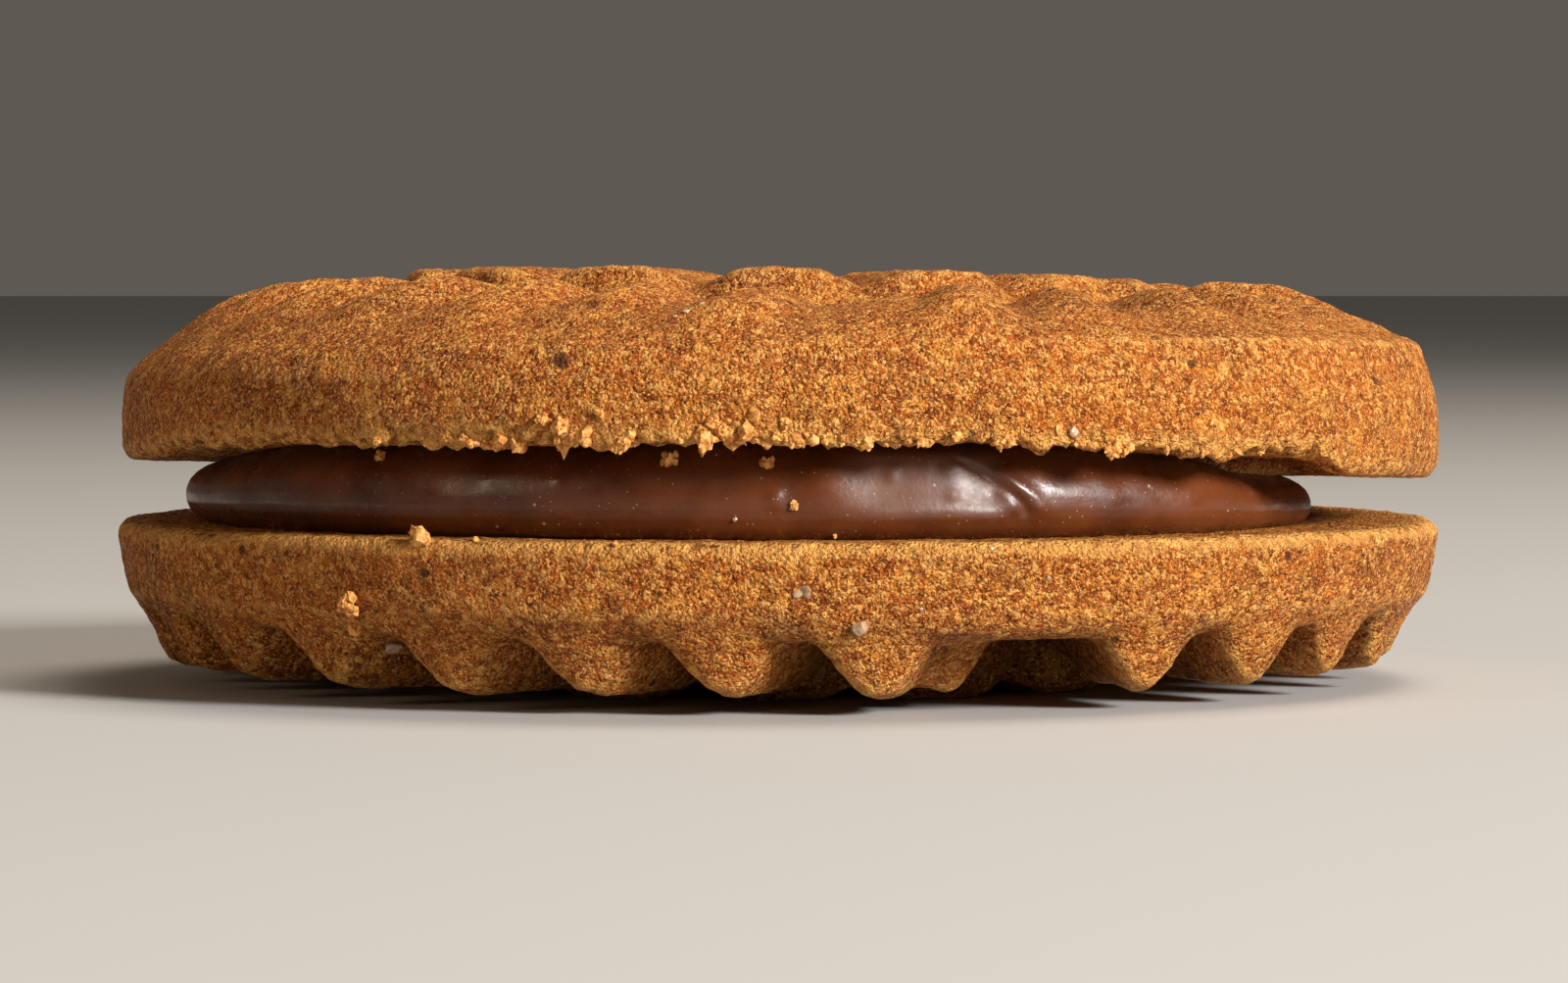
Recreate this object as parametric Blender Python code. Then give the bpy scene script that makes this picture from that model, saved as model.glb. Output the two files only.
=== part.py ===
# Sandwich cookie: two moulded biscuits with ribbed rims and a chocolate cream layer between them.
# The cookie lies flat on z = 0 with its centre over the origin; its front faces -Y. Sizes are in metres.
# Angles round the cookie are measured in degrees from the front, growing towards +X.

import math
import random

import bmesh
import bpy
from mathutils import Matrix, Vector

MM = 0.001
RADIUS = 22.5 * MM  # of both biscuits, at the wall
RIB_COUNT = 28
PETAL_COUNT = 14  # of the rosette inside the ribs

# Mesh density
RIB_SAMPLES = 8  # vertices round the cookie for each rib
FINE = RIB_COUNT * RIB_SAMPLES
MIDDLE = FINE // 2
COARSE = FINE // 4

# Radii that both biscuits share, as shares of RADIUS
INNER_FACE_EDGE = 0.955  # where the flat inner face ends
CHIP_REACH = 0.06  # how far in from there a chipped edge goes
RIB_RINGS = (0.968, 0.948, 0.925, 0.89, 0.84, 0.78, 0.72, 0.66)
GROOVE = 0.60  # between the ribs and the rosette
ROSETTE_EDGE = 0.56
PETAL_RINGS = ((0.50, 0.50 * MM), (0.40, 0.42 * MM), (0.28, 0.32 * MM))  # radius share, depth between petals
PETAL_ROOT = 0.17
BOSS = 0.10

# Edges and rings of the flat inner face
INNER_DISC = 0.55  # radius share of the one flat polygon in its middle
CHIP_RINGS = ((0.97, 0.055, 0.85), (0.988, 0.0, 0.92))  # radius share, reach inwards, share of the depth
CHIP_TOP = 2.2 * MM  # where the chip dies out up the wall

# Ribs
RIB_ROOT = (0.625, 0.705)  # a rib rises to its full height between these radius shares
RIB_ROOT_HEIGHT = 0.55  # of its full height, at the inner end
RIB_END_FADE = 0.03  # half the length, in radius shares, of the slope where a broken rib ends
LEAN_FROM = 0.90  # radius share where rib_phase counts
RIB_SHIFTS = (-0.05, 0.05)  # each rib's own place, width and height vary between these
RIB_WIDTHS = (0.92, 1.06)
RIB_HEIGHTS = (0.93, 1.0)
GROOVE_RISE = 0.15  # how far the groove lies above the floor, as a share of the ribs' height

# Rosette
PETAL_GAP = 0.25  # half the width of the groove between petals, as a share of a petal
SCALLOP = 0.03  # how far the rosette's edge draws in between petals
SCALLOP_DEPTH = 0.55 * MM
ROOT_DEPTH = 0.30 * MM

# Unevenness of the moulded outline and of the floor between the ribs: number of waves, size
OUTLINE_WAVES = (7, 0.16 * MM)
FLOOR_WAVES = (5, 0.08 * MM)
CREAM_WAVES = (12, 0.16 * MM)
CREAM_SEED = 7
SHARP_ANGLE = math.radians(40)

# The lower biscuit lies on its rosette, ribs down
LOWER = {
    "name": "lower_biscuit",
    "seed": 11,
    "face_down": True,
    "thickness": 5.50 * MM,  # at the rosette, the thickest part
    "wall": ((1.000, 0.28 * MM), (0.992, 1.35 * MM), (0.984, 2.35 * MM)),  # radius share, height
    "floor": 3.12 * MM,  # between the ribs
    "floor_drop": ((0.94, 0.0), (0.975, 0.42 * MM)),  # how the floor falls away towards the wall
    "side_drop": 0.0,
    "rib_top": 5.08 * MM,
    "rib_outer": (0.912, 0.968),  # the crest falls from full height to the floor here
    "rib_turn": 0.50,  # how far a rib leans round the rim, in radians for one radius inwards
    "rib_phase": -3.7,  # degrees from the front to the middle of a rib
    "rib_width": 0.76,  # of the distance between ribs
    "rib_fullness": 0.42,  # below 1 a rib is rounder and its flanks steeper
    "rib_skew": -0.08,  # above 0 the right flank is the steeper one
    "petal_crown": 0.0 * MM,  # the rosette is flat where the cookie rests
    "worn_ribs": {2: (0.97, -0.60, 0.83)},  # number from the front: height, shift, radius share of its end
    "edge_chip": None,
}

# The upper biscuit lies on the cream with its ribs up, worn by handling and chipped along its front edge
UPPER = {
    "name": "upper_biscuit",
    "seed": 29,
    "face_down": False,
    "thickness": 6.55 * MM,
    "wall": ((0.999, 0.40 * MM), (1.000, 1.60 * MM), (0.994, 2.75 * MM)),
    "floor": 5.10 * MM,
    "floor_drop": ((0.79, 0.0), (0.84, 0.11 * MM), (0.89, 0.40 * MM), (0.968, 1.15 * MM)),
    "side_drop": -0.49,  # the floor falls less on the right than on the left
    "rib_top": 6.20 * MM,
    "rib_outer": (0.72, 0.97),
    "rib_turn": 0.34,
    "rib_phase": -6.0,
    "rib_width": 1.12,
    "rib_fullness": 0.9,
    "rib_skew": 0.3,
    "petal_crown": 0.12 * MM,
    "worn_ribs": {
        -2: (0.88, 0.0, None),
        -1: (0.82, 0.0, None),
        0: (0.60, 0.05, 0.93),
        1: (0.45, 0.18, None),
        2: (0.82, -0.30, 0.95),
        3: (0.86, -0.32, None),
        4: (0.9, -0.1, None),
    },
    "edge_chip": {"depth": 0.70 * MM, "from": (-82, -48), "to": (49, 55)},  # angles where it begins and ends
}

# The cream, and the way the upper biscuit sits on it
CREAM_BASE = LOWER["thickness"]
CREAM_DEPTH = 1.66 * MM  # between the biscuits at the middle
OPEN_TILT = math.radians(1.6)  # the biscuits stand further apart at the front
SIDE_TILT = math.radians(0.77)  # the upper biscuit is lower on the right
CLEARANCE = 0.2 * MM  # between the cream and each biscuit
CREAM_RADII = {0: 0.905, 60: 0.875, 90: 0.845, 150: 0.86, 180: 0.84, 240: 0.87, 270: 0.893, 320: 0.90}
CREAM_SEGMENTS = 96
CREAM_PROFILE = ((0.0, 0.975), (0.16, 0.992), (0.42, 1.0), (0.66, 0.988), (0.86, 0.962), (1.0, 0.925))

BISCUIT_COLOUR = (0.55, 0.25, 0.085, 1.0)
BISCUIT_ROUGHNESS = 0.75
CREAM_COLOUR = (0.075, 0.026, 0.011, 1.0)
CREAM_ROUGHNESS = 0.3


def smooth_step(low, high, value):
    """0 below low, 1 above high and smooth between them."""
    share = min(1.0, max(0.0, (value - low) / (high - low)))
    return share * share * (3 - 2 * share)


def make_wander(rng, waves, size):
    """A smooth random function of the angle that keeps within about plus or minus size."""
    terms = [(k, rng.uniform(-1, 1), rng.uniform(0, math.tau)) for k in range(2, 2 + waves)]
    scale = size / math.sqrt(waves)
    return lambda angle: scale * sum(a * math.cos(k * math.radians(angle) + p) for k, a, p in terms)


def rib_rise(biscuit, rib, across, share):
    """Height of one rib above the floor, from 0 to 1, at a distance across it and a radius share."""
    across = min(0.5, max(-0.5, (across - rib["shift"]) / (rib["width"] * biscuit["rib_width"])))
    across -= biscuit["rib_skew"] * (0.25 - across * across)
    crest = 0.5 + 0.5 * math.cos(math.tau * across)
    outer_low, outer_high = biscuit["rib_outer"]
    if rib["ends_at"]:
        outer_low, outer_high = rib["ends_at"] - RIB_END_FADE, rib["ends_at"] + RIB_END_FADE
    end = 1 - smooth_step(outer_low, outer_high, share)
    root = RIB_ROOT_HEIGHT + (1 - RIB_ROOT_HEIGHT) * smooth_step(*RIB_ROOT, share)
    return crest ** biscuit["rib_fullness"] * end * root * rib["height"]


def relief_rise(biscuit, ribs, angle, share):
    """Height of the ribbed relief above the floor at an angle and a radius share, from 0 to 1."""
    lean = math.degrees(biscuit["rib_turn"]) * (LEAN_FROM - share)
    place = (angle - biscuit["rib_phase"] - lean) * RIB_COUNT / 360
    before = math.floor(place)
    return max(rib_rise(biscuit, ribs[i % RIB_COUNT], place - i, share) for i in (before, before + 1))


def make_ribs(biscuit, rng):
    """The ribs' own widths, heights and places, each a little uneven."""
    ribs = []
    for _ in range(RIB_COUNT):
        ribs.append(
            {
                "shift": rng.uniform(*RIB_SHIFTS),
                "width": rng.uniform(*RIB_WIDTHS),
                "height": rng.uniform(*RIB_HEIGHTS),
                "ends_at": None,
            }
        )
    for number, (height, shift, ends_at) in biscuit["worn_ribs"].items():
        ribs[number % RIB_COUNT].update(height=height, shift=shift, ends_at=ends_at)
    return ribs


def read_table(table, value):
    """Straight-line reading of a table of (value, result) pairs, level beyond its ends."""
    if value <= table[0][0]:
        return table[0][1]
    for (low, first), (high, second) in zip(table, table[1:]):
        if value <= high:
            return first + (second - first) * (value - low) / (high - low)
    return table[-1][1]


def petal_groove(angle):
    """1 in the middle of the groove between two petals, 0 on a petal."""
    place = (angle * PETAL_COUNT / 360) % 1.0
    return max(0.0, 1 - abs(place - 0.5) / PETAL_GAP)


def make_ring(bm, biscuit, count, radius_of, height_of):
    """A closed ring of vertices whose radius and height are functions of the angle."""
    side = 1 if biscuit["face_down"] else -1  # a biscuit laid face down is turned over afterwards
    ring = []
    for i in range(count):
        angle = 360 * i / count
        turn = math.radians(angle)
        x = radius_of(angle) * math.sin(turn)
        y = side * radius_of(angle) * math.cos(turn)
        ring.append(bm.verts.new((x, y, height_of(angle))))
    return ring


def bridge(bm, first, second):
    """Joins two rings by faces. They hold the same number of vertices, or one twice as many as the other."""
    if len(first) < len(second):
        first, second = second, first
    count = len(second)
    if len(first) == count:
        for i in range(count):
            j = (i + 1) % count
            bm.faces.new((first[i], first[j], second[j], second[i]))
        return
    for i in range(count):
        a, b, c = first[2 * i], first[2 * i + 1], first[(2 * i + 2) % len(first)]
        low, high = second[i], second[(i + 1) % count]
        bm.faces.new((a, b, low))
        bm.faces.new((b, high, low))
        bm.faces.new((b, c, high))


def finish_object(bm, name, colour, roughness):
    """Turns a bmesh into a named object with its own material."""
    bmesh.ops.recalc_face_normals(bm, faces=bm.faces)
    mesh = bpy.data.meshes.new(name)
    bm.to_mesh(mesh)
    bm.free()
    obj = bpy.data.objects.new(name, mesh)
    bpy.context.scene.collection.objects.link(obj)
    material = bpy.data.materials.new(name + "_finish")
    material.use_nodes = True
    shader = material.node_tree.nodes["Principled BSDF"]
    shader.inputs["Base Color"].default_value = colour
    shader.inputs["Roughness"].default_value = roughness
    mesh.materials.append(material)
    mesh.shade_smooth()
    mesh.set_sharp_from_angle(angle=SHARP_ANGLE)
    return obj


def chip_share(chip, angle):
    """How much of the inner face's edge is chipped away at an angle, from 0 to 1."""
    if not chip:
        return 0.0
    signed = (angle + 180) % 360 - 180
    return smooth_step(*chip["from"], signed) * (1 - smooth_step(*chip["to"], signed))


def make_biscuit(biscuit):
    """One moulded biscuit, its flat inner face on z = 0 and its ribbed face up."""
    rng = random.Random(biscuit["seed"])
    outline = make_wander(rng, *OUTLINE_WAVES)
    sag = make_wander(rng, *FLOOR_WAVES)
    ribs = make_ribs(biscuit, rng)
    floor, rib_top, top = biscuit["floor"], biscuit["rib_top"], biscuit["thickness"]
    chip = biscuit["edge_chip"]
    bm = bmesh.new()

    def radius_at(share, reach=0.0):
        """Radius of a ring as a function of the angle; a chipped edge draws it in by reach."""

        def radius(angle):
            here = share - reach * chip_share(chip, angle)
            return RADIUS * here + outline(angle) * here**3

        return radius

    def edge_height(height, keep):
        """Height of a ring at the edge or on the wall; keep is how much of the chip it feels."""
        return lambda angle: height + (keep * chip["depth"] * chip_share(chip, angle) if chip else 0.0)

    def relief_height(share):
        def height(angle):
            rise = relief_rise(biscuit, ribs, angle, share)
            tilt = 1 + biscuit["side_drop"] * math.sin(math.radians(angle))
            drop = read_table(biscuit["floor_drop"], share) * tilt
            return floor - drop + sag(angle) * share + (rib_top - floor) * rise

        return height

    def petal_height(depth):
        def height(angle):
            round_off = biscuit["petal_crown"] * (math.cos(math.tau * angle * PETAL_COUNT / 360) - 1) / 2
            return top + round_off - depth * petal_groove(angle)

        return height

    # inner face, worn edge and wall
    last = make_ring(bm, biscuit, COARSE, radius_at(INNER_DISC), lambda angle: 0.0)
    bm.faces.new(last)
    rings = [(MIDDLE, radius_at(INNER_FACE_EDGE, CHIP_REACH), edge_height(0.0, 0.0))]
    for share, reach, keep in CHIP_RINGS:
        rings.append((MIDDLE, radius_at(share, reach), edge_height(0.0, keep)))
    for share, height in biscuit["wall"]:
        rings.append((MIDDLE, radius_at(share), edge_height(height, max(0.0, 1 - height / CHIP_TOP))))

    # ribs and the groove inside them
    for share in RIB_RINGS:
        rings.append((FINE, radius_at(share), relief_height(share)))
    rings.append((MIDDLE, radius_at(GROOVE), lambda angle: floor + GROOVE_RISE * (rib_top - floor)))

    # rosette with its petals and a flat boss
    def scallop(angle):
        return RADIUS * (ROSETTE_EDGE - SCALLOP * petal_groove(angle))

    rings.append((MIDDLE, scallop, petal_height(SCALLOP_DEPTH)))
    for share, depth in PETAL_RINGS:
        rings.append((MIDDLE, radius_at(share), petal_height(depth)))
    rings.append((COARSE, radius_at(PETAL_ROOT), lambda angle: top - ROOT_DEPTH))
    rings.append((COARSE, radius_at(BOSS), lambda angle: top))
    for count, radius_of, height_of in rings:
        ring = make_ring(bm, biscuit, count, radius_of, height_of)
        bridge(bm, last, ring)
        last = ring
    bm.faces.new(last)
    return finish_object(bm, biscuit["name"], BISCUIT_COLOUR, BISCUIT_ROUGHNESS)


def upper_face_height(x, y):
    """Height of the upper biscuit's inner face above a point of the cookie."""
    return CREAM_BASE + CREAM_DEPTH - math.tan(SIDE_TILT) * x - math.tan(OPEN_TILT) * y


def cream_radius(angle):
    """The cream's reach at an angle, read smoothly between the places in CREAM_RADII."""
    places = sorted(CREAM_RADII)
    angle %= 360
    after = next((p for p in places if p > angle), places[0] + 360)
    before = max(p for p in places if p <= angle)
    share = smooth_step(before, after, angle)
    return RADIUS * (CREAM_RADII[before] * (1 - share) + CREAM_RADII[after % 360] * share)


def make_cream():
    """The pressed layer of cream: its side bulges low down and draws back under the upper biscuit."""
    wave = make_wander(random.Random(CREAM_SEED), *CREAM_WAVES)
    bm = bmesh.new()
    rings = []
    for rise, share in CREAM_PROFILE:
        ring = []
        for i in range(CREAM_SEGMENTS):
            angle = 360 * i / CREAM_SEGMENTS
            turn = math.radians(angle)
            radius = (cream_radius(angle) + wave(angle)) * share
            x, y = radius * math.sin(turn), -radius * math.cos(turn)
            low = CREAM_BASE + CLEARANCE
            high = upper_face_height(x, y) - CLEARANCE
            ring.append(bm.verts.new((x, y, low + (high - low) * rise)))
        if rings:
            bridge(bm, rings[-1], ring)
        rings.append(ring)
    bm.faces.new(rings[0])
    bm.faces.new(rings[-1])
    return finish_object(bm, "cream_filling", CREAM_COLOUR, CREAM_ROUGHNESS)


def clear_scene():
    for obj in list(bpy.data.objects):
        bpy.data.objects.remove(obj)


clear_scene()

lower = make_biscuit(LOWER)
lower.location = (0, 0, LOWER["thickness"])
lower.rotation_euler = (math.pi, 0, 0)  # turned over, ribs down

cream = make_cream()

upper = make_biscuit(UPPER)
across = Vector((1, 0, -math.tan(SIDE_TILT))).normalized()
normal = Vector((math.tan(SIDE_TILT), math.tan(OPEN_TILT), 1)).normalized()
back = normal.cross(across)
turn = Matrix((across, back, normal)).transposed()
upper.rotation_euler = turn.to_euler()
upper.location = (0, 0, CREAM_BASE + CREAM_DEPTH)
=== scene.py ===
import math
import random

import bpy
import numpy as np
from mathutils import Euler, Matrix, Vector, noise


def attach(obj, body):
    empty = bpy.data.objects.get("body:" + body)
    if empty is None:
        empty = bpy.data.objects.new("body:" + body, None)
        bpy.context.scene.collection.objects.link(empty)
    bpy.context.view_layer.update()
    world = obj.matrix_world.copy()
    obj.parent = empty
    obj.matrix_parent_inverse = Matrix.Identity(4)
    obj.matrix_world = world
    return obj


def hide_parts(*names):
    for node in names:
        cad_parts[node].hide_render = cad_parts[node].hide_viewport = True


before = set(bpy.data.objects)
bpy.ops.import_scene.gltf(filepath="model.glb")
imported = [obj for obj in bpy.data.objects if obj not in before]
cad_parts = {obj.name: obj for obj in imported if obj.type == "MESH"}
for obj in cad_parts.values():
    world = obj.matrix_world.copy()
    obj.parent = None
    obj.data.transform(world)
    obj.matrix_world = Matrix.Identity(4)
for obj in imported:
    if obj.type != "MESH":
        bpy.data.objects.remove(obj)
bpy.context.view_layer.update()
print("frame loaded")

mm = 0.001
radius = 22.5 * mm  # both biscuits
imageWidth = 1600  # the photograph's own pixels
imageHeight = 1003

# camera of the photograph: low, close to level, a long macro lens
camera = {
    "place": (0.22 * mm, -225 * mm, 13.79 * mm),
    "lens": 151.0,
    "sensor": 36.0,
    "pitch": 1.89,  # degrees below level
    "nearest": 10 * mm,
    "farthest": 20,
}

# how the biscuits meet the cream
sandwich = {
    "creamBase": 5.50 * mm,
    "creamDepth": 1.66 * mm,
    "openTilt": math.radians(1.6),  # wider open at the front
    "sideTilt": math.radians(0.77),  # upper biscuit lower on the right
    "mergeWithin": 0.002 * mm,
}


def pickOnly(*objs):
    bpy.ops.object.select_all(action="DESELECT")
    for obj in objs:
        obj.select_set(True)
    bpy.context.view_layer.objects.active = objs[0]


def applyModifiers(obj):
    pickOnly(obj)
    for modifier in list(obj.modifiers):
        bpy.ops.object.modifier_apply(modifier=modifier.name)


def copyOfNode(nodeName, name):
    # loose triangles of the node, merged into one skin
    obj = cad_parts[nodeName].copy()
    obj.data = obj.data.copy()
    obj.name = name
    obj.data.name = name
    obj.parent = None
    for key in list(obj.keys()):
        del obj[key]
    bpy.context.scene.collection.objects.link(obj)
    obj.data.materials.clear()
    pickOnly(obj)
    bpy.ops.object.mode_set(mode="EDIT")
    bpy.ops.mesh.select_all(action="SELECT")
    bpy.ops.mesh.remove_doubles(threshold=sandwich["mergeWithin"])
    bpy.ops.object.mode_set(mode="OBJECT")
    return obj


def coordsOf(obj):
    co = np.empty(len(obj.data.vertices) * 3)
    obj.data.vertices.foreach_get("co", co)
    return co.reshape(-1, 3)


def setGroup(obj, name, weights):
    # weights in twenty steps, so that points go in together
    steps = 20
    group = obj.vertex_groups.new(name=name)
    levels = np.round(np.clip(weights, 0, 1) * steps).astype(int)
    for level in range(1, steps + 1):
        chosen = np.nonzero(levels == level)[0]
        if len(chosen):
            group.add(chosen.tolist(), level / steps, "REPLACE")


def addLayer(obj, name, values):
    layer = obj.data.attributes.new(name, "FLOAT", "POINT")
    layer.data.foreach_set("value", np.asarray(values, np.float32))


def roughen(obj, name, size, strength, group, depth=2, direction="NORMAL"):
    texture = bpy.data.textures.new(name, "CLOUDS")
    texture.noise_scale = size
    texture.noise_depth = depth
    texture.noise_basis = "ORIGINAL_PERLIN"
    displace = obj.modifiers.new(name, "DISPLACE")
    displace.texture = texture
    displace.texture_coords = "LOCAL"
    displace.strength = strength
    displace.mid_level = 0.5
    displace.direction = direction
    displace.vertex_group = group


def ramp(x, low, high):
    t = np.clip((x - low) / (high - low), 0, 1)
    return t * t * (3 - 2 * t)


def upperFace(x, y):
    # height of the upper biscuit's lower face
    return (
        sandwich["creamBase"]
        + sandwich["creamDepth"]
        - math.tan(sandwich["sideTilt"]) * x
        - math.tan(sandwich["openTilt"]) * y
    )


def setCamera():
    data = bpy.data.cameras.new("photoCamera")
    obj = bpy.data.objects.new("photoCamera", data)
    bpy.context.scene.collection.objects.link(obj)
    data.lens = camera["lens"]
    data.sensor_width = camera["sensor"]
    data.clip_start = camera["nearest"]
    data.clip_end = camera["farthest"]
    obj.location = camera["place"]
    obj.rotation_euler = (math.radians(90 - camera["pitch"]), 0, 0)
    bpy.context.scene.camera = obj
    bpy.context.view_layer.update()
    return obj


studio = {
    "floorColour": (0.44, 0.435, 0.425, 1),
    "floorRoughness": 0.7,
    "floorRadius": 4,
    "floorSides": 96,
    "worldColour": (1.0, 0.89, 0.76, 1),
    "worldStrength": 0.112,
    "lights": {  # place, size, watts, colour
        "keyLight": ((0.38, -0.32, 0.215), 0.13, 5.3, (1.0, 0.985, 0.96)),
        "leftLight": ((-0.40, -0.27, 0.18), 0.16, 0.36, (1.0, 0.76, 0.50)),
        "topLight": ((0.14, 0.12, 0.52), 0.26, 2.0, (1.0, 0.88, 0.74)),
    },
}


def addLight(name, place, size, watts, colour):
    data = bpy.data.lights.new(name, "AREA")
    data.size = size
    data.energy = watts
    data.color = colour
    obj = bpy.data.objects.new(name, data)
    bpy.context.scene.collection.objects.link(obj)
    obj.location = place
    obj.rotation_euler = Vector(place).to_track_quat("Z", "Y").to_euler()  # aimed at the origin


def setStudio():
    bpy.ops.mesh.primitive_circle_add(
        vertices=studio["floorSides"], radius=studio["floorRadius"], fill_type="NGON", location=(0, 0, 0)
    )
    floor = bpy.context.object
    floor.name = "studioFloor"
    material = bpy.data.materials.new("palePaper")
    material.use_nodes = True
    shader = material.node_tree.nodes["Principled BSDF"]
    shader.inputs["Base Color"].default_value = studio["floorColour"]
    shader.inputs["Roughness"].default_value = studio["floorRoughness"]
    floor.data.materials.append(material)
    world = bpy.data.worlds.new("softRoom")
    world.use_nodes = True
    background = world.node_tree.nodes["Background"]
    background.inputs["Color"].default_value = studio["worldColour"]
    background.inputs["Strength"].default_value = studio["worldStrength"]
    bpy.context.scene.world = world
    for name, (place, size, watts, colour) in studio["lights"].items():
        addLight(name, place, size, watts, colour)
    bpy.context.scene.view_settings.view_transform = "Standard"


eye = setCamera()
setStudio()
print("camera and studio ready")


def rayThrough(px, py):
    # from the camera through a pixel of the photograph
    perPixel = camera["sensor"] / camera["lens"] / imageWidth
    aim = Vector(((px - imageWidth / 2) * perPixel, (imageHeight / 2 - py) * perPixel, -1))
    return eye.matrix_world.translation, (eye.matrix_world.to_3x3() @ aim).normalized()


def surfaceAt(target, px, py):
    start, aim = rayThrough(px, py)
    hit, place, normal, _ = target.ray_cast(start, aim)
    return (place, normal) if hit else (None, None)


def pixelsToSize(pixels, place):
    away = (place - Vector(camera["place"])).length
    return pixels * away * camera["sensor"] / camera["lens"] / imageWidth


class nodeBoard:
    # adds shader nodes to one material and links them by name
    def __init__(self, name):
        self.material = bpy.data.materials.new(name)
        self.material.use_nodes = True
        self.tree = self.material.node_tree
        self.shader = self.tree.nodes["Principled BSDF"]
        self.coords = self.tree.nodes.new("ShaderNodeTexCoord").outputs["Object"]

    def add(self, kind, inputs=None, **settings):
        node = self.tree.nodes.new(kind)
        for key, value in settings.items():
            setattr(node, key, value)
        for key, value in (inputs or {}).items():
            self.plug(value, node.inputs[key])
        return node

    def plug(self, value, socket):
        if isinstance(value, bpy.types.NodeSocket):
            self.tree.links.new(value, socket)
        else:
            socket.default_value = value

    def surface(self, **values):
        # baseColor=... goes to the shader's socket "Base Color"
        sockets = {
            "baseColor": "Base Color",
            "roughness": "Roughness",
            "specular": "Specular IOR Level",
            "normal": "Normal",
        }
        for key, value in values.items():
            self.plug(value, self.shader.inputs[sockets[key]])

    def cloud(self, size, detail=3, rough=0.55):
        return self.add(
            "ShaderNodeTexNoise",
            {"Vector": self.coords, "Scale": 1 / size, "Detail": detail, "Roughness": rough},
        ).outputs["Fac"]

    def cells(self, size, output="Distance", spread=1.0):
        return self.add(
            "ShaderNodeTexVoronoi",
            {"Vector": self.coords, "Scale": 1 / size, "Randomness": spread},
            feature="F1",
        ).outputs[output]

    def stretch(self, value, low, high, outLow=0.0, outHigh=1.0):
        return self.add(
            "ShaderNodeMapRange",
            {"Value": value, "From Min": low, "From Max": high, "To Min": outLow, "To Max": outHigh},
            interpolation_type="SMOOTHSTEP",
        ).outputs["Result"]

    def times(self, a, b):
        return self.add("ShaderNodeMath", {0: a, 1: b}, operation="MULTIPLY").outputs[0]

    def plus(self, a, b):
        return self.add("ShaderNodeMath", {0: a, 1: b}, operation="ADD").outputs[0]

    def mixColour(self, share, first, second):
        node = self.tree.nodes.new("ShaderNodeMix")
        node.data_type = "RGBA"
        self.plug(share, node.inputs[0])
        self.plug(first, node.inputs[6])
        self.plug(second, node.inputs[7])
        return node.outputs[2]

    def parts(self, colour):
        return self.add("ShaderNodeSeparateColor", {"Color": colour}).outputs

    def attribute(self, name):
        return self.add("ShaderNodeAttribute", attribute_name=name).outputs["Fac"]

    def bump(self, height, strength, distance):
        inputs = {"Height": height, "Strength": strength, "Distance": distance}
        return self.add("ShaderNodeBump", inputs).outputs["Normal"]


biscuitFinish = {
    "crust": (0.455, 0.107, 0.0095, 1),
    "brown": (0.124, 0.0175, 0.0011, 1),
    "gold": (0.77, 0.280, 0.038, 1),
    "pale": (0.96, 0.50, 0.130, 1),
    "crumb": (0.96, 0.50, 0.13, 1),
    "char": (0.05, 0.016, 0.006, 1),
    "grainSize": 0.15 * mm,
    "coarseSize": 0.33 * mm,
    "fineSize": 0.080 * mm,
    "burntEvery": 2.3 * mm,
    "fleckEvery": 1.9 * mm,
    "crumbToneAndRimHighlightSize": 0.22 * mm,
    "crumbGapAndRimHighlightSize": 0.55 * mm,
    "roughMost": 0.77,
    "roughLeast": 0.28,  # a few grains glint
    "roughRange": (0.55, 1.0),
    "specular": 0.15,
    # broad browning: size, roughness, from, to, share, tone
    "patches": (
        (8 * mm, 0.55, 0.40, 0.66, 0.25, "brown"),
        (1.9 * mm, 0.55, 0.46, 0.64, 0.58, "brown"),
        (0.95 * mm, 0.55, 0.50, 0.64, 0.62, "gold"),
        (0.42 * mm, 0.60, 0.49, 0.34, 0.68, "brown"),
    ),
    # laid on in this order: from, to, share, tone
    "layers": {
        "paleGrain": (0.60, 0.98, 0.62, "pale"),
        "darkGrain": (0.38, 0.02, 0.68, "brown"),
        "goldClod": (0.80, 0.98, 0.25, "gold"),
        "fineLight": (0.53, 0.68, 0.78, "pale"),
        "fineDark": (0.49, 0.32, 0.66, "brown"),
        # raised: grains that stand up painted lighter, painted light; hollow: hollows painted darker, painted
        # shade
        "raised": (0.60, 0.95, 0.38, "pale"),
        "hollow": (0.42, 0.05, 0.60, "brown"),
        "burnt": (0.085, 0.055, 0.80, "char"),
        "fleck": (0.060, 0.035, 0.70, "crumb"),
    },
    # on the upper biscuit's broken edges, and as a painted highlight along the lower biscuit's top rim: from,
    # to, share, tone
    "brokenCrumb": (0.42, 0.55, 0.52, "crumb"),
    "brokenGap": (0.45, 0.34, 0.70, "brown"),
    "stain": 0.85,
    # relief: how far each size of grain counts
    "grainRange": (0.80, 0.0),
    "clodRange": (0.80, 0.10),
    "grainRelief": 0.50,
    "clodRelief": 0.45,
    "fineRelief": 1.05,
    "reliefDepth": 0.20 * mm,
}


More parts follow.
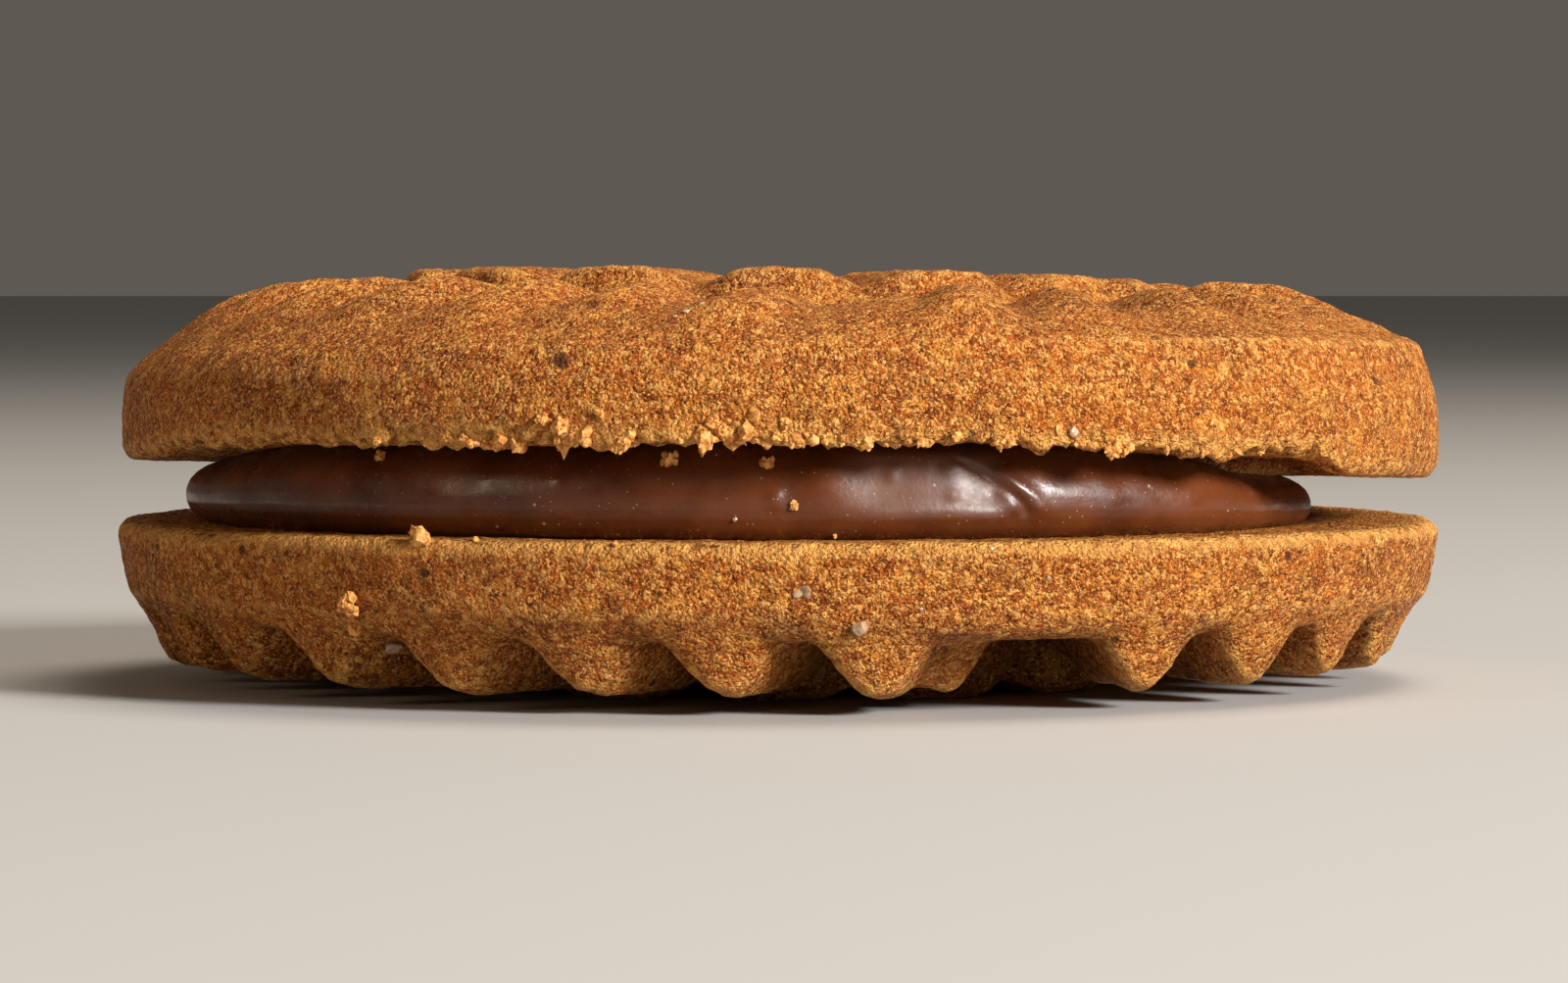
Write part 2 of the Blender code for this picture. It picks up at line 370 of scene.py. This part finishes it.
def makeBiscuitMaterial():
    board = nodeBoard("bakedBiscuit")
    look = biscuitFinish

    def tint(colour, mask, share, tone):
        return board.mixColour(board.times(mask, share), colour, look[tone])

    colour = look["crust"]
    for size, rough, low, high, share, tone in look["patches"]:
        colour = tint(colour, board.stretch(board.cloud(size, 3, rough), low, high), share, tone)
    tones = board.parts(board.cells(look["grainSize"], "Color"))  # every grain has a tone of its own
    coarse = board.parts(board.cells(look["coarseSize"], "Color"))
    fine = board.cloud(look["fineSize"], 2, 0.6)
    # lighter on raised grains and darker in hollows: painted light and painted shade
    raised = board.attribute("raised")
    masks = {
        "paleGrain": tones[0],
        "darkGrain": tones[1],
        "goldClod": coarse[0],
        "fineLight": fine,
        "fineDark": fine,
        "raised": raised,
        "hollow": raised,
        "burnt": board.cells(look["burntEvery"]),
        "fleck": board.cells(look["fleckEvery"], spread=0.9),
    }
    for name, (low, high, share, tone) in look["layers"].items():
        colour = tint(colour, board.stretch(masks[name], low, high), share, tone)
    # the upper biscuit's broken edges show the pale crumb with darker gaps; the same tones along the lower
    # biscuit's top rim are a painted highlight
    brokenCrumbAndRimHighlight = board.attribute("brokenCrumbAndRimHighlight")
    edges = {
        "brokenCrumb": board.cloud(look["crumbToneAndRimHighlightSize"], 3, 0.7),
        "brokenGap": board.cloud(look["crumbGapAndRimHighlightSize"], 3, 0.6),
    }
    for name, mask in edges.items():
        low, high, share, tone = look[name]
        colour = tint(colour, board.times(brokenCrumbAndRimHighlight, board.stretch(mask, low, high)), share, tone)
    colour = tint(colour, board.attribute("stain"), look["stain"], "char")
    rough = board.stretch(tones[2], *look["roughRange"], look["roughMost"], look["roughLeast"])
    grains = board.stretch(board.cells(look["grainSize"]), *look["grainRange"])
    clods = board.stretch(board.cells(look["coarseSize"]), *look["clodRange"])
    height = board.plus(board.times(grains, look["grainRelief"]), board.times(clods, look["clodRelief"]))
    height = board.plus(height, board.times(fine, look["fineRelief"]))
    normal = board.bump(height, 1.0, look["reliefDepth"])
    board.surface(baseColor=colour, roughness=rough, specular=look["specular"], normal=normal)
    return board.material


creamFinish = {
    "cream": (0.118, 0.030, 0.0075, 1),
    "deep": (0.064, 0.014, 0.0025, 1),
    # paintedSheen: lighter brown laid on the smeared part as painted sheen
    "paintedSheen": (0.200, 0.100, 0.062, 1),
    "dustAndGlintSpeck": (0.60, 0.46, 0.34, 1),
    "patchSize": 4 * mm,
    "patchRange": (0.35, 0.68),
    # pale specks, partly dust and partly painted glints: cell size, from, to, share
    "dustAndGlintSpecks": ((0.9 * mm, 0.075, 0.035, 0.5), (0.26 * mm, 0.110, 0.060, 0.5)),
    "smear": 0.26,  # how far the smeared part is painted lighter: painted sheen of a broad reflection
    "smearRough": 0.13,
    "roughSize": 0.8 * mm,
    "roughRange": (0.3, 0.7),
    "roughLeast": 0.24,
    "roughMost": 0.41,
    "specular": 0.44,
    "fineSize": 0.14 * mm,
    "fineRelief": 0.4,
    "waveSize": 0.9 * mm,
    "relief": 0.35,
    "reliefDepth": 0.05 * mm,
}


def makeCreamMaterial():
    board = nodeBoard("chocolateCream")
    look = creamFinish
    patches = board.stretch(board.cloud(look["patchSize"]), *look["patchRange"])
    colour = board.mixColour(patches, look["cream"], look["deep"])
    # pale specks of dust on the cream, with painted glints among them
    for size, low, high, share in look["dustAndGlintSpecks"]:
        dustAndGlintSpecks = board.stretch(board.cells(size), low, high)
        colour = board.mixColour(board.times(dustAndGlintSpecks, share), colour, look["dustAndGlintSpeck"])
    smeared = board.attribute("smeared")
    # the smeared part is painted lighter, a painted sheen; its extra roughness below is real
    colour = board.mixColour(board.times(smeared, look["smear"]), colour, look["paintedSheen"])
    uneven = board.cloud(look["roughSize"], 4, 0.6)
    rough = board.stretch(uneven, *look["roughRange"], look["roughLeast"], look["roughMost"])
    rough = board.plus(rough, board.times(smeared, look["smearRough"]))
    fine = board.cloud(look["fineSize"], 3, 0.6)
    height = board.plus(board.times(fine, look["fineRelief"]), board.cloud(look["waveSize"]))
    normal = board.bump(height, look["relief"], look["reliefDepth"])
    board.surface(baseColor=colour, roughness=rough, specular=look["specular"], normal=normal)
    return board.material


crumbFinish = {
    "pale": (0.80, 0.41, 0.115, 1),
    "crust": (0.44, 0.145, 0.022, 1),
    "patchSize": 0.22 * mm,
    "patchRange": (0.40, 0.60),
    "roughness": 0.7,
    "specular": 0.3,
    "grainSize": 0.10 * mm,
    "relief": 0.8,
    "reliefDepth": 0.05 * mm,
}


def makeCrumbMaterial():
    board = nodeBoard("biscuitCrumb")
    look = crumbFinish
    tone = board.stretch(board.cloud(look["patchSize"], 4, 0.7), *look["patchRange"])
    colour = board.mixColour(tone, look["pale"], look["crust"])
    normal = board.bump(board.cloud(look["grainSize"], 3, 0.7), look["relief"], look["reliefDepth"])
    board.surface(baseColor=colour, roughness=look["roughness"], specular=look["specular"], normal=normal)
    return board.material


crystalFinish = {
    "light": (0.52, 0.34, 0.20, 1),
    "dark": (0.30, 0.16, 0.08, 1),
    "veinSize": 0.25 * mm,
    "veinRange": (0.38, 0.64),
    "roughness": 0.24,
    "specular": 0.6,
    "relief": 0.5,
    "reliefDepth": 0.03 * mm,
}


def makeCrystalMaterial():
    board = nodeBoard("sugarCrystal")
    look = crystalFinish
    veins = board.stretch(board.cloud(look["veinSize"], 3, 0.6), *look["veinRange"])
    colour = board.mixColour(veins, look["light"], look["dark"])
    normal = board.bump(veins, look["relief"], look["reliefDepth"])
    board.surface(baseColor=colour, roughness=look["roughness"], specular=look["specular"], normal=normal)
    return board.material


biscuitMaterial = makeBiscuitMaterial()
creamMaterial = makeCreamMaterial()
crumbMaterial = makeCrumbMaterial()
crystalMaterial = makeCrystalMaterial()
print("materials ready")


# reach is a share of the radius, angles are degrees round from the front
biscuitBuild = {
    "voxel": 0.21 * mm,
    "softFactor": 0.5,
    "softRounds": 6,
    "coveredDepth": 0.12 * mm,  # the flat face that the cream hides stays even
    "coveredReach": 0.86,
    "coveredThinning": 0.9,
    "lumps": 0.14 * mm,
    "lumpSize": 2.6 * mm,
    "crags": 0.12 * mm,
    "cragSize": 0.75 * mm,
    "grit": 0.10 * mm,
    "gritSize": 0.34 * mm,
    "rag": 1.05 * mm,  # how unevenly the chipped lower rim is broken
    "ragSize": 0.95 * mm,
    "smallRag": 0.75 * mm,
    "smallRagSize": 0.38 * mm,
    "chipFrom": (-82, -48),
    "chipTo": (51, 58),
    "chipDepth": 0.60 * mm,
    "deepChip": 0.32 * mm,  # the rim is broken higher to the right of the front
    "deepFrom": (-32, 5),
    "deepTo": (22, 44),
    "pocketTo": (64, 74),  # the hollow behind the rim runs on past the rim's own chip
    "creamTo": (40, 56),  # the cream fills the hollow up to here
    "pocketReach": (0.80, 0.82),
    "rimReach": (0.92, 0.96),
    "brokenReach": (0.945, 0.97),
    "brokenDepth": (0.95 * mm, 1.45 * mm),
    "paleFrom": (-46, -22),  # the broken edge shows less pale crumb at both ends
    "paleTo": (26, 48),
    "paleAtFrom": 0.3,
    "paleAtTo": 0.5,
    # pale band along the lower biscuit's top rim, a painted highlight: reach and depth
    "lowerRimHighlightReach": (0.94, 0.96),
    "lowerRimHighlightDepth": (0.08 * mm, 0.30 * mm),
    "farRib": 0.80 * mm,  # the ribs at the right of the back stand higher
    "farRibFrom": (90, 107),
    "farRibTo": (126, 148),
    "farRibReachFrom": (0.60, 0.80),
    "farRibReachTo": (0.95, 1.01),
    "farRibRise": (1.0 * mm, 4.5 * mm),
    "raisedRounds": 3,
    "raisedSpread": 0.22,
    "stainFade": (0.25, 0.60),
    # dark bits in the upper crust: pixel across, pixel down, size in pixels
    "stains": ((572, 368, 22), (605, 310, 18), (1095, 440, 14)),
}


def between(value, first, last):
    # rises over the first range and falls over the last
    return ramp(value, *biscuitBuild[first]) * (1 - ramp(value, *biscuitBuild[last]))


def chipHeight(angle, end):
    # how far the face is broken away from below
    deeper = biscuitBuild["deepChip"] * between(angle, "deepFrom", "deepTo")
    return biscuitBuild["chipDepth"] * between(angle, "chipFrom", end) + deeper


def markRaised(obj):
    # how far each point stands above its neighbours, at the scale of the grain; the colour uses it for painted
    # light on raised grains and painted shade in hollows
    mesh = obj.data
    co = coordsOf(obj)
    normals = np.empty(len(co) * 3)
    mesh.vertex_normals.foreach_get("vector", normals)
    normals = normals.reshape(-1, 3)
    edges = np.empty(len(mesh.edges) * 2, dtype=np.int64)
    mesh.edges.foreach_get("vertices", edges)
    a, b = edges.reshape(-1, 2).T
    count = np.bincount(a, minlength=len(co)) + np.bincount(b, minlength=len(co))
    count = np.maximum(count, 1)
    smooth = co.copy()
    for _ in range(biscuitBuild["raisedRounds"]):
        total = np.zeros_like(smooth)
        for k in range(3):
            total[:, k] = np.bincount(a, smooth[b, k], len(co)) + np.bincount(b, smooth[a, k], len(co))
        smooth = 0.5 * smooth + 0.5 * total / count[:, None]
    height = ((co - smooth) * normals).sum(1)
    level = 0.5 + height / np.std(height) * biscuitBuild["raisedSpread"]
    addLayer(obj, "raised", np.clip(level, 0, 1))


def markStains(piece):
    co = coordsOf(piece)
    level = np.zeros(len(co))
    for px, py, pixels in biscuitBuild["stains"]:
        place, _ = surfaceAt(piece, px, py)
        if place is not None:
            away = np.linalg.norm(co - np.array(place), axis=1) / pixelsToSize(pixels, place)
            level = np.maximum(level, 1 - ramp(away, *biscuitBuild["stainFade"]))
    addLayer(piece, "stain", level)


def remeshCopy(nodeName, name):
    build = biscuitBuild
    piece = copyOfNode(nodeName, name)
    remesh = piece.modifiers.new("skin", "REMESH")
    remesh.mode = "VOXEL"
    remesh.voxel_size = build["voxel"] * 1
    remesh.use_smooth_shade = True
    softener = piece.modifiers.new("soften", "SMOOTH")
    softener.factor = build["softFactor"]
    softener.iterations = build["softRounds"]
    applyModifiers(piece)
    return piece


def shapeUpper(piece, co, inner, reach):
    # breaks the lower rim away, hollows the face behind it and lifts the far ribs
    build = biscuitBuild
    angle = np.degrees(np.arctan2(co[:, 0], -co[:, 1]))
    atRim = ramp(reach, *build["rimReach"])
    carved = chipHeight(angle, "pocketTo") * (1 - atRim) + chipHeight(angle, "chipTo") * atRim
    carved *= ramp(reach, *build["pocketReach"])
    higher = between(angle, "farRibFrom", "farRibTo") * between(reach, "farRibReachFrom", "farRibReachTo")
    higher *= ramp(inner, *build["farRibRise"])
    co[:, 2] += np.maximum(carved - inner, 0) + build["farRib"] * higher
    piece.data.vertices.foreach_set("co", co.ravel())
    inner = np.maximum(inner, carved)
    brokenEdge = between(angle, "chipFrom", "chipTo") * ramp(reach, *build["brokenReach"])
    brokenEdge *= 1 - ramp(inner, *build["brokenDepth"])
    paleCrumbAndRimHighlight = brokenEdge * (build["paleAtFrom"] + (1 - build["paleAtFrom"]) * ramp(angle, *build["paleFrom"]))
    paleCrumbAndRimHighlight *= 1 - (1 - build["paleAtTo"]) * ramp(angle, *build["paleTo"])
    return brokenEdge, paleCrumbAndRimHighlight


def makeBiscuit(nodeName, name, faceUp):
    build = biscuitBuild
    piece = remeshCopy(nodeName, name)
    co = coordsOf(piece)
    if faceUp:
        inner = co[:, 2] - upperFace(co[:, 0], co[:, 1])
    else:
        inner = sandwich["creamBase"] - co[:, 2]
    reach = np.hypot(co[:, 0], co[:, 1]) / radius
    covered = (inner < build["coveredDepth"]) & (reach < build["coveredReach"])
    if faceUp:
        brokenEdge, paleCrumbAndRimHighlight = shapeUpper(piece, co, inner, reach)
        setGroup(piece, "ragged", brokenEdge)
    else:
        # pale band along the lower biscuit's top rim: painted highlight
        paleCrumbAndRimHighlight = ramp(reach, *build["lowerRimHighlightReach"]) * (1 - ramp(inner, *build["lowerRimHighlightDepth"]))
    setGroup(piece, "baked", np.where(covered, 0.0, 1.0))
    roughen(piece, name + "Lumps", build["lumpSize"], build["lumps"], "baked")
    roughen(piece, name + "Crags", build["cragSize"], build["crags"], "baked")
    roughen(piece, name + "Grit", build["gritSize"], build["grit"], "baked", depth=1)
    if faceUp:
        roughen(piece, name + "Rag", build["ragSize"], build["rag"], "ragged", direction="Z")
        roughen(piece, name + "SmallRag", build["smallRagSize"], build["smallRag"], "ragged", direction="Z")
    # pale crumb on the upper's broken rim, and the painted highlight on the lower's top rim
    addLayer(piece, "brokenCrumbAndRimHighlight", paleCrumbAndRimHighlight)
    applyModifiers(piece)
    # thin the face that the cream hides
    setGroup(piece, "hidden", np.where(covered, 1.0, 0.0))
    thin = piece.modifiers.new("thin", "DECIMATE")
    thin.vertex_group = "hidden"
    thin.ratio = 1 - build["coveredThinning"] * covered.mean()
    applyModifiers(piece)
    if not faceUp:
        settle(piece)
    markRaised(piece)
    markStains(piece)
    piece.vertex_groups.clear()
    piece.data.materials.append(biscuitMaterial)
    piece.data.shade_smooth()
    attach(piece, "root")
    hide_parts(nodeName)
    print(name, "has", len(piece.data.polygons), "faces")
    return piece


def settle(piece):
    # nothing reaches below the table
    co = coordsOf(piece)
    co[:, 2] = np.maximum(co[:, 2], 0.0)
    piece.data.vertices.foreach_set("co", co.ravel())
    piece.data.update()


lowerBiscuit = makeBiscuit("lower_biscuit", "lowerBiscuit", False)
upperBiscuit = makeBiscuit("upper_biscuit", "upperBiscuit", True)


# rise is a share of the cream's height, angles are degrees round from the front
creamBuild = {
    # angle and reach as a share of the radius
    "radii": {
        0: 0.915, 40: 0.905, 65: 0.845, 92: 0.775, 150: 0.85,
        180: 0.86, 240: 0.88, 270: 0.893, 320: 0.912,
    },
    # rise and share of the reach there
    "profile": (
        (0.0, 0.962), (0.05, 0.978), (0.12, 0.989), (0.22, 0.996), (0.34, 1.0), (0.46, 0.9995),
        (0.54, 0.9975), (0.62, 0.994), (0.70, 0.989), (0.80, 0.978), (0.90, 0.961), (1.0, 0.935),
    ),
    "smearFrom": (3.5, 9.5),  # flattened by a finger or knife between these angles
    "smearTo": (19.0, 21.5),
    "smearLow": (0.15, 0.42),
    "smearHigh": (0.80, 0.95),
    "smearLean": 0.035,
    "foldLow": (0.29, 22.4),  # rise and angle where the little fold ends
    "foldHigh": (0.72, 17.9),
    "foldBend": 1.5,
    "fold": 0.13 * mm,
    "lip": (0.8, 1.4, 1.2),  # height, place and width in degrees, beside the crease
    "crease": (0.9, 0.5),  # depth and width in degrees
    "foldFrom": (0.15, 0.34),
    "foldTo": (0.78, 0.92),
    # little blobs: angle, rise, size in degrees, height
    "blobs": (
        (-0.2, 0.42, 0.75, 0.11 * mm), (10.2, 0.66, 0.6, 0.06 * mm), (15.6, 0.46, 0.6, 0.07 * mm),
        (21.3, 0.22, 0.45, -0.07 * mm), (-19.5, 0.62, 0.5, 0.04 * mm), (-14.0, 0.66, 0.5, -0.03 * mm),
    ),
    "fullHeight": 8.1,  # in degrees: one is about 0.36 mm, the full height about 2.9 mm
    # unevenness: how often, how drawn out over the height, how high
    "swells": ((3.0, 0.25, 0.22 * mm), (11.0, 0.12, 0.07 * mm)),
    "segments": 600,
    "crowding": 0.55,  # segments stand closer together at the front
    "rows": 36,
    "rowStep": 0.1 * mm,
    "sink": 0.06 * mm,
}


def creamReach(angle):
    radii = creamBuild["radii"]
    places = sorted(radii)
    angle %= 360
    after = next((p for p in places if p > angle), places[0] + 360)
    before = max(p for p in places if p <= angle)
    t = (angle - before) / (after - before)
    t = t * t * (3 - 2 * t)
    return radius * (radii[before] * (1 - t) + radii[after % 360] * t)


def foldHeight(angle, rise):
    # a crease with a raised lip on its right, running down to the right
    build = creamBuild
    (lowRise, lowAngle), (highRise, highAngle) = build["foldLow"], build["foldHigh"]
    along = max(0.0, (rise - lowRise) / (highRise - lowRise))
    off = angle - (lowAngle + (highAngle - lowAngle) * along ** build["foldBend"])
    lip, lipPlace, lipWidth = build["lip"]
    crease, creaseWidth = build["crease"]
    shape = lip * math.exp(-(((off - lipPlace) / lipWidth) ** 2))
    shape -= crease * math.exp(-((off / creaseWidth) ** 2))
    inside = float(ramp(rise, *build["foldFrom"]) * (1 - ramp(rise, *build["foldTo"])))
    height = shape * build["fold"] * inside
    for blobAngle, blobRise, size, blob in build["blobs"]:
        away = ((angle - blobAngle) ** 2 + ((rise - blobRise) * build["fullHeight"]) ** 2) / size**2
        if away < 9:
            height += blob * math.exp(-away)
    return height


def makeCream():
    build = creamBuild
    bpy.ops.object.select_all(action="DESELECT")
    bpy.ops.mesh.primitive_circle_add(
        vertices=build["segments"], radius=radius, fill_type="NGON", location=(0, 0, 0)
    )
    piece = bpy.context.object
    piece.name = "chocolateCream"
    piece.data.name = "chocolateCream"
    bpy.ops.object.mode_set(mode="EDIT")
    bpy.ops.mesh.select_all(action="SELECT")
    for _ in range(build["rows"]):
        bpy.ops.mesh.extrude_region_move(TRANSFORM_OT_translate={"value": (0, 0, build["rowStep"])})
    bpy.ops.object.mode_set(mode="OBJECT")
    mesh = piece.data
    heights, shares = zip(*build["profile"])
    smearLow = build["smearLow"][0]
    smears = []
    for vertex in mesh.vertices:
        rise = round(vertex.co.z / build["rowStep"]) / build["rows"]
        share = float(np.interp(rise, heights, shares))
        turn = math.atan2(vertex.co.x, -vertex.co.y)
        turn -= build["crowding"] * math.sin(turn)
        angle = math.degrees(turn)
        smear = ramp(angle, *build["smearFrom"]) * (1 - ramp(angle, *build["smearTo"]))
        smear *= ramp(rise, *build["smearLow"]) * (1 - ramp(rise, *build["smearHigh"]))
        share += smear * (1.0 - build["smearLean"] * (rise - smearLow) - share)
        smears.append(smear)
        swell = 0
        for often, drawn, high in build["swells"]:
            swell += noise.noise(Vector((math.sin(turn), math.cos(turn), rise * drawn)) * often) * high
        reach = (creamReach(angle) + swell + foldHeight(angle, rise)) * share
        x, y = reach * math.sin(turn), -reach * math.cos(turn)
        low = sandwich["creamBase"] - build["sink"]
        high = upperFace(x, y) + build["sink"] + float(chipHeight(angle, "creamTo"))
        vertex.co = (x, y, low + (high - low) * rise)
    pickOnly(piece)
    bpy.ops.object.mode_set(mode="EDIT")
    bpy.ops.mesh.select_all(action="SELECT")
    bpy.ops.mesh.normals_make_consistent(inside=False)
    bpy.ops.object.mode_set(mode="OBJECT")
    addLayer(piece, "smeared", smears)
    mesh.materials.append(creamMaterial)
    mesh.shade_smooth()
    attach(piece, "root")
    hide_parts("cream_filling")
    return piece


cream = makeCream()
print("cream ready")

carriers = {"cream": cream, "lower": lowerBiscuit, "upper": upperBiscuit}


# crumbs, placed where the photograph shows them; lengths are shares of a crumb's size
crumbBuild = {
    "seed": 5,
    "shapes": 7,
    "sides": 2,  # rounds of subdivision of the starting ball, one more for every second shape
    "shift": (7.3, 1.9, 4.1),
    "lumps": ((1.5, 0.50), (3.0, 0.34), (7.0, 0.20)),  # how often, how high
    "stretch": ((0.9, 1.25), (0.8, 1.05), (0.6, 0.9)),
    "smoothUnder": math.radians(38),
    "lift": 0.15,
    "core": 0.72,
    # a bigger crumb is several stuck together
    "clusterFrom": 11,  # pixels
    "clusterBits": 9,
    "bitAcross": 0.34,
    "bitUp": 0.28,
    "bitOut": 0.18,
    "bitSize": (0.32, 0.52),
    # along the rim, in pixels
    "rimRows": (485, 400, -2),
    "rimReach": 0.93,
    "edgeShare": 0.6,  # most sit on the very edge, the others above it
    "edgeRise": (1, 6),
    "aboveRise": 11,
    "rimSizes": (0.5, 0.65, 0.8, 1.0, 1.35),
    "rimLift": 0.02,
}

# pixel across, pixel down, size in pixels, what carries it
seenCrumbs = [
    (683, 470, 20, "cream"), (783, 475, 16, "cream"), (811, 516, 11, "cream"), (852, 546, 7, "cream"),
    (389, 467, 14, "cream"), (431, 552, 27, "lower"), (356, 614, 26, "lower"), (362, 640, 22, "lower"),
    (553, 427, 15, "upper"), (486, 552, 10, "lower"), (628, 556, 9, "lower"), (750, 369, 9, "upper"),
    (802, 432, 13, "upper"), (611, 421, 11, "upper"),
]

# along the broken rim: from pixel, to pixel, crumbs, size in pixels
rimCrumbs = [
    (330, 470, 7, 7), (470, 500, 8, 10), (500, 532, 9, 13), (565, 605, 14, 15), (625, 662, 11, 14),
    (690, 735, 7, 11), (715, 770, 17, 15), (770, 800, 5, 9), (800, 830, 8, 12), (830, 905, 9, 9),
    (905, 1060, 10, 8), (975, 1030, 6, 11), (1060, 1180, 7, 8), (1090, 1150, 6, 11), (1180, 1300, 6, 8),
]


def makeCrumbShape(number):
    bpy.ops.object.select_all(action="DESELECT")
    bpy.ops.mesh.primitive_ico_sphere_add(subdivisions=crumbBuild["sides"] + number % 2, radius=0.5)
    crumb = bpy.context.object
    shift = Vector([along * number for along in crumbBuild["shift"]])
    for vertex in crumb.data.vertices:
        p = vertex.co.normalized()
        swell = 1
        for often, high in crumbBuild["lumps"]:
            swell += high * noise.noise(p * often + shift)
        vertex.co = p * 0.5 * swell
    return crumb


def placeCrumb(shapes, rng, place, size):
    crumb = rng.choice(shapes).copy()
    crumb.data = crumb.data.copy()
    bpy.context.scene.collection.objects.link(crumb)
    turn = Euler([rng.uniform(0, math.tau) for _ in range(3)]).to_matrix().to_4x4()
    stretch = Matrix.Diagonal([rng.uniform(*limits) for limits in crumbBuild["stretch"]] + [1])
    crumb.data.transform(Matrix.Translation(place) @ turn @ stretch @ Matrix.Scale(size, 4))
    return crumb


def joinAs(name, objs, material):
    pickOnly(*objs)
    bpy.ops.object.join()
    piece = bpy.context.object
    piece.name = name
    piece.data.name = name
    piece.data.materials.clear()
    piece.data.materials.append(material)
    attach(piece, "root")
    return piece


def seenAt(px, py, carrier):
    place, normal = surfaceAt(carriers[carrier], px, py)
    if place is None:
        print("no", carrier, "behind", px, py)
    return place, normal


def makeSeenCrumbs(shapes, rng):
    build = crumbBuild
    made = []
    for px, py, pixels, carrier in seenCrumbs:
        place, normal = seenAt(px, py, carrier)
        if place is None:
            continue
        size = pixelsToSize(pixels, place)
        made.append(placeCrumb(shapes, rng, place + normal * size * build["lift"], size * build["core"]))
        if pixels < build["clusterFrom"]:
            continue
        across = normal.cross(Vector((0, 0, 1))).normalized()
        for _ in range(build["clusterBits"]):
            off = across * rng.uniform(-build["bitAcross"], build["bitAcross"])
            off += Vector((0, 0, rng.uniform(-build["bitUp"], build["bitUp"]))) + normal * build["bitOut"]
            made.append(placeCrumb(shapes, rng, place + off * size, size * rng.uniform(*build["bitSize"])))
    return made


def makeRimCrumbs(shapes, rng):
    build = crumbBuild
    made = []
    for first, last, count, pixels in rimCrumbs:
        for _ in range(count):
            px = rng.uniform(first, last)
            # the lowest pixel where the upper biscuit still shows
            for py in range(*build["rimRows"]):
                place, _ = surfaceAt(upperBiscuit, px, py)
                if place is not None and math.hypot(place.x, place.y) > build["rimReach"] * radius:
                    break
            onEdge = rng.random() < build["edgeShare"]
            rise = rng.uniform(*build["edgeRise"]) if onEdge else abs(rng.gauss(0, build["aboveRise"]))
            place, normal = surfaceAt(upperBiscuit, px, py - rise)
            if place is None:
                continue
            size = pixelsToSize(pixels * rng.choice(build["rimSizes"]), place)
            made.append(placeCrumb(shapes, rng, place + normal * size * build["rimLift"], size))
    return made


def makeCrumbs():
    rng = random.Random(crumbBuild["seed"])
    shapes = [makeCrumbShape(i) for i in range(crumbBuild["shapes"])]
    made = makeSeenCrumbs(shapes, rng) + makeRimCrumbs(shapes, rng)
    piece = joinAs("looseCrumbs", made, crumbMaterial)
    bpy.ops.object.shade_smooth_by_angle(angle=crumbBuild["smoothUnder"])
    for shape in shapes:
        bpy.data.objects.remove(shape)
    print("crumbs have", len(piece.data.polygons), "faces")


# lengths are shares of a crystal's size
crystalBuild = {
    "seed": 6,
    "bevel": 0.24,
    "wobble": 0.10,
    "seeds": 1000,
    "tip": 0.3,  # radians either way
    "long": 0.8,
    "wide": 0.62,
    "thick": 0.7,
    "lift": 0.12,
}

# sugar and salt: pixel across, pixel down, size in pixels, how thick, what carries it
crystals = [
    (877, 640, 21, 0.75, "lower"), (822, 604, 17, 0.30, "lower"), (814, 606, 12, 0.35, "lower"),
    (1095, 441, 15, 0.7, "upper"), (402, 660, 24, 0.5, "lower"), (700, 318, 9, 0.5, "upper"),
    (716, 310, 8, 0.5, "upper"), (689, 323, 6, 0.6, "upper"), (1012, 560, 6, 0.5, "lower"),
    (940, 622, 6, 0.6, "lower"), (1070, 590, 7, 0.5, "lower"), (750, 530, 6, 0.8, "cream"),
]


def makeCrystals():
    build = crystalBuild
    rng = random.Random(build["seed"])
    made = []
    for px, py, pixels, flat, carrier in crystals:
        place, normal = seenAt(px, py, carrier)
        if place is None:
            continue
        size = pixelsToSize(pixels, place)
        bpy.ops.object.select_all(action="DESELECT")
        bpy.ops.mesh.primitive_cube_add(size=1)
        crystal = bpy.context.object
        bpy.ops.object.mode_set(mode="EDIT")
        bpy.ops.mesh.select_all(action="SELECT")
        bpy.ops.mesh.bevel(offset=build["bevel"], segments=1)
        bpy.ops.transform.vertex_random(offset=build["wobble"], seed=rng.randrange(build["seeds"]))
        bpy.ops.object.mode_set(mode="OBJECT")
        turn = normal.to_track_quat("Z", "Y").to_matrix().to_4x4()
        twist = Matrix.Rotation(rng.uniform(0, math.tau), 4, "Z")
        tip = Matrix.Rotation(rng.uniform(-build["tip"], build["tip"]), 4, "X")
        stretch = Matrix.Diagonal((build["long"], build["wide"], flat * build["thick"], 1))
        lift = Matrix.Translation(place + normal * size * flat * build["lift"])
        crystal.data.transform(lift @ turn @ twist @ tip @ stretch @ Matrix.Scale(size, 4))
        made.append(crystal)
    piece = joinAs("sugarCrystals", made, crystalMaterial)
    piece.data.shade_flat()


makeCrumbs()
makeCrystals()
print("crumbs and crystals ready")
